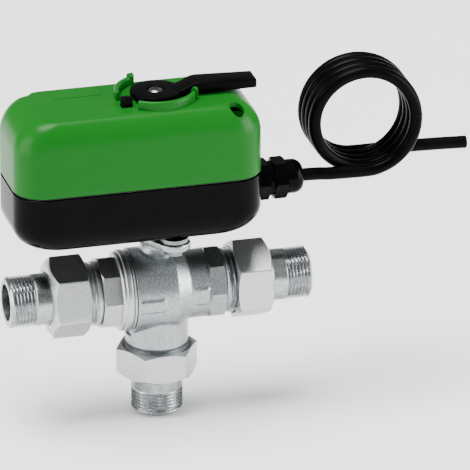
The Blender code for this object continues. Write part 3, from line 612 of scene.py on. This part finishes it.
def join_shells(name, shells):
    """Several closed shells as one mesh, ready to be merged by a remesh."""
    shape = bmesh.new()
    for shell in shells:
        shape.from_mesh(shell.data)
        bpy.data.objects.remove(shell, do_unlink=True)
    mesh = bpy.data.meshes.new(name)
    shape.to_mesh(mesh)
    shape.free()
    obj = bpy.data.objects.new(name, mesh)
    bpy.context.scene.collection.objects.link(obj)
    return obj


def lug_flange():
    shape = bmesh.new()
    for radius, x, y in ((LUG[2], LUG[0], LUG[1]), (LUG[2], -LUG[0], -LUG[1]), (11.4, 0, 0)):
        for z in (27.5, 31.0):
            for px, py in arc(radius - 0.1, 0, 360, 48, x, y)[:-1]:
                shape.verts.new((px, py, z))
    hull = bmesh.ops.convex_hull(shape, input=shape.verts)
    inside = {*hull["geom_interior"], *hull["geom_unused"]}
    spare = [item for item in inside if isinstance(item, bmesh.types.BMVert)]
    bmesh.ops.delete(shape, geom=spare, context="VERTS")
    return make("lug_flange", shape)


def cast_skin():
    """Barrel, necks, bonnet and flange as one casting, with soft fillets where they meet."""
    barrel = [(0, 25.5), (NECK_R, 25.5), (NECK_R, 14.0), (BARREL_R, 7.0), (BARREL_R, -14.7), (0, -14.7)]
    lower = [(0, 30.6), (14.6, 30.6), (16.0, 28.6), (16.0, 5), (0, 5)]
    bonnet = [(0, 29), (8.2, 29), (8.2, 24), (9.0, 21.5), (10.6, 19.2), (13.0, 17.2), (13.0, 8), (0, 8)]
    shells = [
        lathe("barrel", barrel, "right", steps=128),
        lathe("lower_neck", lower, "down", steps=96),
        lathe("bonnet", bonnet, steps=96),
        lug_flange(),
        rounded_box("barrel_pad", (-13.0, -22.2, -4.6), (-0.5, -15.0, 1.6), 0.4),
        rounded_box("neck_pad", (17.3, -18.2, -4.5), (23.2, -12.0, 4.0), 0.4),
    ]
    skin = join_shells("valve_casting", shells)
    remesh = skin.modifiers.new("merge", "REMESH")
    remesh.mode = "VOXEL"
    remesh.voxel_size = 0.5 * MM
    relax = skin.modifiers.new("cast_fillets", "SMOOTH")
    relax.factor = 0.5
    relax.iterations = 7
    return settle(skin)


def stub(name, aim, low, high, bore):
    """A union end: an outside thread with a chamfered mouth."""
    profile = [
        (0, high), (G1_R - 1.2, high), (G1_R, high - 1.0), (G1_R, low),
        (G1_R - 1.5, low - 0.5), (0, low - 0.5),
    ]
    thread = (G1_R, low + 0.6, high - 1.1, G1_PITCH, G1_DEPTH)
    return lathe(name, profile, aim, steps=120, thread=thread)


def make_valve_body():
    low, high = box("valve_body")
    body = cast_skin()
    octagon = prism("octagon", polygon(OCTAGON_R, 8, 0.8), 24.2, 32.8, "right")
    blank = [(0, 32.8), (17.9, 32.8), (19.2, 31.7), (19.2, 25.2), (17.9, 24.2), (0, 24.2)]
    combine(octagon, [lathe("octagon_blank", blank, "right")], "INTERSECT")
    relief = lathe("neck_relief", [(0, 34.5), (15.0, 34.5), (15.0, 32), (0, 32)], "right")
    right = stub("right_stub", "right", 33.4, high.x, PORT_BORE_R)
    bottom = stub("bottom_stub", "down", 31.4, -low.z, PORT_BORE_R)
    waist = lathe("bottom_relief", [(0, 32.5), (14.6, 32.5), (14.6, 29), (0, 29)], "down")
    combine(body, [octagon, relief, right, waist, bottom], "UNION")
    run = [
        (0, 50), (9.2, 50), (PORT_BORE_R, 44.6), (PORT_BORE_R, 15.2), (9.9, 15.2), (9.9, 10.5), (14.6, 10.5),
        (14.6, -10.8), (18.3, -10.8), (18.3, -14.7), (24, -14.7), (24, -24), (0, -24),
    ]
    drop = [(0, 42), (9.2, 42), (PORT_BORE_R, 36.3), (PORT_BORE_R, 15.2), (9.9, 15.2), (9.9, 0), (0, 0)]
    stem = [(0, 34), (5.3, 34), (5.3, 17.2), (7.4, 17.2), (7.4, 1), (0, 1)]
    holes = [
        lathe("run_bore", run, "right"),
        lathe("drop_bore", drop, "down"),
        lathe("stem_bore", stem, steps=64),
    ]
    for side in (1, -1):
        bolt = [(0, 34), (3.4, 34), (3.4, 31.4), (2.8, 30.6), (2.8, 25), (0, 25)]
        holes.append(lathe(f"lug_hole_{side}", bolt, at=(side * LUG[0], side * LUG[1], 0), steps=40))
    combine(body, holes, "DIFFERENCE")
    piece(body, "cast", "valve", "valve_body", slot="plated_brass", angle=38)


def make_end_cap():
    low, high = box("body_end_cap")
    face = -low.x
    bands = [
        (0, 31.0), (15.4, 31.0), (15.4, 22.2), (19.2, 22.0), (20.1, 21.2), (20.1, 19.9),
        (21.0, 19.6), (21.0, 17.0),
        (20.4, 16.7), (19.6, 16.5), (19.6, 16.1), (20.7, 15.9), (20.9, 15.0), (18.0, 15.0), (18.0, 13.7),
        (16.6, 13.7), (16.6, 12.1), (18.0, 12.1), (18.0, 11.1), (0, 11.1),
    ]
    cap = lathe("end_cap_turned", bands, "left", steps=144, soft=0.35)
    octagon = prism("cap_octagon", polygon(OCTAGON_R, 8, 0.8), 22.0, 31.4, "left")
    blank = [(0, 31.4), (17.9, 31.4), (19.2, 30.3), (19.2, 21), (0, 21)]
    combine(octagon, [lathe("cap_octagon_blank", blank, "left")], "INTERSECT")
    neck = lathe("cap_relief", [(0, 33.5), (15.0, 33.5), (15.0, 30), (0, 30)], "left")
    combine(cap, [octagon, neck, stub("left_stub", "left", 32.2, face, PORT_BORE_R)], "UNION")
    bore = [(0, 50), (9.2, 50), (PORT_BORE_R, 44.6), (PORT_BORE_R, 15.2), (9.9, 15.2), (9.9, 5), (0, 5)]
    combine(cap, [lathe("cap_bore", bore, "left")], "DIFFERENCE")
    piece(cap, "nut", "valve", "body_end_cap", slot="plated_brass")


def make_nut(side, aim, body, spin):
    """A union nut: chamfered hexagon, deeper at its outer end, over a stepped bore."""
    low, high = box(f"union_nut_{side}")
    start, end = {"right": (low.x, high.x), "left": (-high.x, -low.x), "bottom": (-high.z, -low.z)}[side]
    collar = box(f"tailpiece_{side}")
    inner = {"right": collar[0].x, "left": -collar[1].x, "bottom": -collar[1].z}[side]
    shoulder = inner + 3.8
    corner_r = NUT_FLATS / 2 / math.cos(math.pi / 6)
    nut = prism(f"nut_{side}", polygon(corner_r, 6, 0.9), start, end, aim, spin=spin)
    blank = [
        (0, end), (16.6, end), (17.6, end - 0.35), (corner_r + 0.2, end - 3.0),
        (corner_r + 0.2, start + 1.5),
        (18.6, start + 0.15), (18.2, start), (0, start),
    ]
    combine(nut, [lathe(f"blank_{side}", blank, aim, steps=144)], "INTERSECT")
    bore = [
        (0, end + 1), (14.3, end + 1), (TAIL_R + 0.3, end - 0.6), (TAIL_R + 0.3, shoulder), (16.9, shoulder),
        (16.9, start + 0.9), (17.8, start - 0.1), (17.8, start - 1), (0, start - 1),
    ]
    combine(nut, [lathe(f"nut_bore_{side}", bore, aim, steps=144)], "DIFFERENCE")
    piece(nut, "nut", body, f"union_nut_{side}", slot="plated_brass", angle=24)


def make_tailpiece(side, aim, thread_start, look):
    """A union tail with a flanged seat, a plain shank and a taper-started outside thread."""
    low, high = box(f"tailpiece_{side}")
    start, end = {"right": (low.x, high.x), "left": (-high.x, -low.x), "bottom": (-high.z, -low.z)}[side]
    profile = [
        (TAIL_BORE_R, end), (TAIL_R - 1.2, end), (TAIL_R, end - 1.1), (TAIL_R, start + 3.5),
        (15.0, start + 3.5),
        (15.0, start), (TAIL_BORE_R, start),
    ]
    thread = (TAIL_R, thread_start, end - 1.15, TAIL_PITCH, TAIL_DEPTH)
    tail = lathe(f"tail_{side}", threaded_ring(profile, thread), aim, steps=120, ring=True)
    tail = carve_thread(tail, aim, thread)
    piece(tail, look, "valve", f"tailpiece_{side}", slot="plated_brass", angle=40)


def threaded_ring(profile, thread):
    """A ring profile whose outer wall is cut into fine steps between two heights."""
    radius, low, high, pitch, _ = thread
    steps = round((high - low) / pitch * 9)
    fine = [(radius, high - (high - low) * i / steps) for i in range(steps + 1)]
    split = next(i for i, point in enumerate(profile) if point[0] == radius) + 1
    return profile[:split] + fine + profile[split:]


def carve_thread(obj, aim, thread):
    """Press a thread into the vertices of a turned piece's outer wall."""
    radius, low, high, pitch, depth = thread
    turn = AIM[aim].to_4x4()
    for vert in obj.data.vertices:
        local = turn.inverted() @ vert.co / MM
        reach = math.hypot(local.x, local.y)
        if abs(reach - radius) < 0.02 and low < local.z < high:
            drop = thread_drop(local.z, math.atan2(local.y, local.x), low, high, pitch, depth)
            scale = (reach - drop) / reach
            vert.co = turn @ Vector((local.x * scale, local.y * scale, local.z)) * MM
    return obj


def hex_screw(name, x, y, head_low, head_high, shank_top, *nodes):
    head = prism(name, polygon(5.77, 6, 0.3), head_low, head_high, at=(x, y, 0))
    blank = [(0, head_high), (5.9, head_high), (5.9, head_low + 0.6), (4.9, head_low), (0, head_low)]
    combine(head, [lathe(name + "_blank", blank, at=(x, y, 0), steps=64)], "INTERSECT")
    bolt = [(0, shank_top), (2.5, shank_top), (2.5, head_high - 1), (0, head_high - 1)]
    shank = lathe(name + "_shank", bolt, at=(x, y, 0), steps=48)
    combine(head, [shank], "UNION")
    piece(head, "zinc_steel", "valve", *nodes)


def make_flange_fixings():
    for name, side in (("front", 1), ("back", -1)):
        low, high = box(f"flange_screw_{name}")
        x, y = side * LUG[0], side * LUG[1]
        hex_screw(f"flange_bolt_{name}", x, y, low.z, 27.2, high.z, f"flange_screw_{name}")
        low, high = box(f"flange_spacer_{name}")
        ring = [(7.4, high.z), (7.4, low.z), (2.8, low.z), (2.8, high.z)]
        spacer = lathe(f"spacer_{name}", soften(ring, 0.35, True), at=(x, y, 0), steps=72, ring=True)
        piece(spacer, "zinc_steel", "valve", f"flange_spacer_{name}")


# ------------------------------------------------------ lever, button, gland


def make_lever():
    low, high = box("lever")
    bottom = 105.4
    hub = lathe("lever_grip", soften([(0, 108.3), (13, 108.3), (13, bottom), (0, bottom)], 0.8), steps=96)
    side = [
        (5.0, bottom), (13.0, bottom + 0.1), (high.x, 106.1), (high.x, 110.8), (21.5, 112.0), (19.0, 111.6),
        (16.4, 110.5), (13.5, 109.1), (11.0, 108.4), (8.5, 108.3), (5.0, 108.3),
    ]
    shape = bmesh.new()
    near = [shape.verts.new((x, -6, z)) for x, z in side]
    far = [shape.verts.new((x, 6, z)) for x, z in side]
    for i in range(len(side)):
        j = (i + 1) % len(side)
        shape.faces.new((near[i], near[j], far[j], far[i]))
    shape.faces.new(near[::-1])
    shape.faces.new(far)
    arm = make("lever_arm", shape)
    bevel(arm, 0.7, 3, 50)
    nose = rounded_box("lever_nose", (8, -2.4, bottom), (14.4, 2.4, 107.9), 0.5)
    nose.data.transform(Matrix.Rotation(math.radians(-140), 4, "Z"))
    spigot = rounded_box("lever_spigot", (-3.2, -3.2, low.z), (3.2, 3.2, 106.5), 0.3)
    combine(hub, [arm, nose, spigot], "UNION")
    sink = [(0, 112), (4.9, 112), (4.4, 107.8), (4.3, 107), (2.3, 107), (2.3, 90), (0, 90)]
    combine(hub, [lathe("lever_sink", sink, steps=64)], "DIFFERENCE")
    piece(hub, "lever_plastic", "drive", "lever", slot="black_plastic", angle=30)


def make_lever_screw():
    low, high = box("lever_screw")
    head = [
        (0, 108.9), (1.6, 108.8), (3.0, 108.4), (3.8, 107.8), (3.9, 107.3), (2.0, 107.3),
        (2.0, low.z), (0, low.z),
    ]
    screw = lathe("lever_screw_head", head, steps=64)
    cuts = [
        rounded_box("slot_a", (-2.3, -0.4, 107.9), (2.3, 0.4, 110), 0.1, 1),
        rounded_box("slot_b", (-0.4, -2.3, 107.9), (0.4, 2.3, 110), 0.1, 1),
    ]
    combine(screw, cuts, "DIFFERENCE")
    piece(screw, "zinc_steel", "drive", "lever_screw")


def make_button():
    low, high = box("release_button")
    x, y = (low.x + high.x) / 2, (low.y + high.y) / 2
    button = rounded_box("release_cap", (x - 2.7, y - 2.6, 80), (x + 2.7, y + 2.6, high.z), 0.5)
    collar = rounded_box("release_collar", (x - 4, y - 3.8, 98.9), (x + 4, y + 3.8, 101.6), 0.3)
    stalk = lathe("release_stalk", [(0, 81), (1.8, 81), (1.8, low.z), (0, low.z)], at=(x, y, 0), steps=40)
    combine(button, [collar, stalk], "UNION")
    piece(button, "black_plastic", "release", "release_button")


def make_release_spring():
    """The button's return spring, copied from its CAD node and riding on the valve body; the copy does not
    shorten as the button goes in.
    """
    node = frame["nodes"]["release_spring"]
    spring = bpy.data.objects.new("return_spring", node.data.copy())
    spring.matrix_world = node.matrix_world.copy()
    bpy.context.scene.collection.objects.link(spring)
    piece(spring, "zinc_steel", "valve", "release_spring")
    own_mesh(spring)


def make_gland():
    low, high = box("gland_body")
    z = (low.z + high.z) / 2
    place = (0, 0, z)
    hexagon = polygon(10.95, 6, 0.5)
    start = box("base_housing")[1].x + 0.3
    flange = prism("gland_flange", hexagon, start, 57.9, "right", place, math.pi / 6)
    blank = [(0, 57.9), (9.6, 57.9), (11.1, 57.2), (11.1, start + 0.2), (10.4, start), (0, start)]
    combine(flange, [lathe("gland_blank", blank, "right", place)], "INTERSECT")
    thread = [(0, 65), (7.7, 65), (7.7, 60), (9, 60), (9, 55), (0, 55)]
    spigot = [(0, 56), (7.5, 56), (7.5, 43), (0, 43)]
    ends = [
        lathe("gland_thread", thread, "right", place),
        lathe("gland_spigot", spigot, "right", place),
    ]
    combine(flange, ends, "UNION")
    bore = [(0, 70), (6.6, 70), (6.6, 60.4), (4.2, 59.5), (4.2, 40), (0, 40)]
    combine(flange, [lathe("gland_bore", bore, "right", place)], "DIFFERENCE")
    piece(flange, "black_plastic", "valve", "gland_body", angle=26)
    low, high = box("gland_nut")
    nut = prism("gland_cap", hexagon, low.x, 67.3, "right", place, math.pi / 6)
    blank = [(0, 67.3), (9.7, 67.3), (11.1, 66.4), (11.1, low.x + 0.8), (9.9, low.x), (0, low.x)]
    combine(nut, [lathe("cap_blank", blank, "right", place)], "INTERSECT")
    turns = [t / 12 * math.pi / 2 for t in range(13)]
    crown = [(4.2 + 4.6 * math.sin(t), 71.3 + (high.x - 71.3) * math.cos(t)) for t in turns]
    dome = [(0, high.x), *crown, (8.8, 62), (0, 62)]
    combine(nut, [lathe("cap_dome", dome, "right", place)], "UNION")
    bore = [(0, 80), (4.4, 80), (3.8, 75.4), (3.8, 71), (6.8, 67.5), (8.0, 66.8), (8.0, 50), (0, 50)]
    combine(nut, [lathe("cap_bore_tool", bore, "right", place)], "DIFFERENCE")
    piece(nut, "black_plastic", "cable_nut", "gland_nut", angle=26)


def make_cable():
    route = cable_route()
    curve = bpy.data.curves.new("supply_cable", "CURVE")
    curve.dimensions = "3D"
    curve.bevel_depth = CABLE_R * MM
    curve.bevel_resolution = 6
    curve.use_fill_caps = True
    spline = curve.splines.new("POLY")
    spline.points.add(len(route) - 1)
    for point, place in zip(spline.points, route):
        point.co = (*(place * MM), 1.0)
    spline.use_smooth = True
    curve.materials.append(LOOKS["cable_black"])
    cable = bpy.data.objects.new("supply_cable", curve)
    bpy.context.scene.collection.objects.link(cable)
    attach(cable, "valve")
    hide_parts("cable_lead", "cable_coil", "cable_tail")


# ---------------------------------------------------------------- everything


def dress_cad_nodes():
    """The CAD nodes that stay as they are take a detailed material by their slot."""
    slots = {item["node"]: item["material_slot"] for item in frame["record"]["subparts"]}
    for name, node in frame["nodes"].items():
        look = LOOKS[slots[name]]
        node.data.materials.clear()
        node.data.materials.append(look)


def make_stage():
    floor_z = cad_bounds[0][2] - 0.0015
    shape = bmesh.new()
    bmesh.ops.create_grid(shape, x_segments=1, y_segments=1, size=4000)
    floor = make("floor", shape, at=(0, 0, floor_z / MM))
    look = Shader("floor_white")
    look.colour(look.noise(60.0), (0.86, 0.86, 0.86), (0.88, 0.88, 0.88))
    look.shader.inputs["Roughness"].default_value = 0.9
    look.shader.inputs["Specular IOR Level"].default_value = 0.0
    floor.data.materials.append(look.material)


def area_light(name, place, target, size, power, colour=(1, 1, 1)):
    data = bpy.data.lights.new(name, "AREA")
    data.shape = "RECTANGLE"
    data.size, data.size_y = size
    data.energy = power
    data.color = colour
    lamp = bpy.data.objects.new(name, data)
    lamp.location = place
    lamp.rotation_euler = (Vector(target) - Vector(place)).to_track_quat("-Z", "Y").to_euler()
    lamp.visible_camera = False
    bpy.context.scene.collection.objects.link(lamp)


def make_lights():
    world = bpy.data.worlds.new("studio")
    world.use_nodes = True
    nodes, links = world.node_tree.nodes, world.node_tree.links
    ambient = nodes["Background"]
    ambient.inputs["Color"].default_value = (1, 1, 1, 1)
    ambient.inputs["Strength"].default_value = 0.3
    backdrop = nodes.new("ShaderNodeBackground")
    backdrop.inputs["Color"].default_value = (1, 1, 1, 1)
    backdrop.inputs["Strength"].default_value = 1.7
    seen = nodes.new("ShaderNodeLightPath").outputs["Is Camera Ray"]
    mix = nodes.new("ShaderNodeMixShader")
    links.new(seen, mix.inputs["Fac"])
    links.new(ambient.outputs[0], mix.inputs[1])
    links.new(backdrop.outputs[0], mix.inputs[2])
    links.new(mix.outputs[0], nodes["World Output"].inputs["Surface"])
    bpy.context.scene.world = world
    overhead = bpy.data.lights.new("overhead", "SUN")
    overhead.energy = 7.2
    overhead.angle = math.radians(38)
    lamp = bpy.data.objects.new("overhead", overhead)
    lamp.rotation_euler = (0, math.radians(-10), 0)
    bpy.context.scene.collection.objects.link(lamp)
    area_light("left_wall", (-1.2, -0.14, 0.42), (0, 0, 0.42), (0.95, 0.92), 18)
    area_light("right_wall", (1.2, -0.6, 0.42), (0, 0, 0.42), (0.95, 0.92), 32)


dress_cad_nodes()
make_cable()
make_cover()
make_base()
make_valve_body()
make_end_cap()
make_nut("right", "right", "right_nut", 0.0)
make_nut("left", "left", "left_nut", math.radians(12))
make_nut("bottom", "down", "bottom_nut", 0.0)
make_tailpiece("right", "right", 65.6, "turned_x")
make_tailpiece("left", "left", 64.5, "turned_x")
make_tailpiece("bottom", "down", 53.4, "turned_z")
make_flange_fixings()
make_lever()
make_lever_screw()
make_button()
make_release_spring()
make_gland()
make_stage()
make_lights()
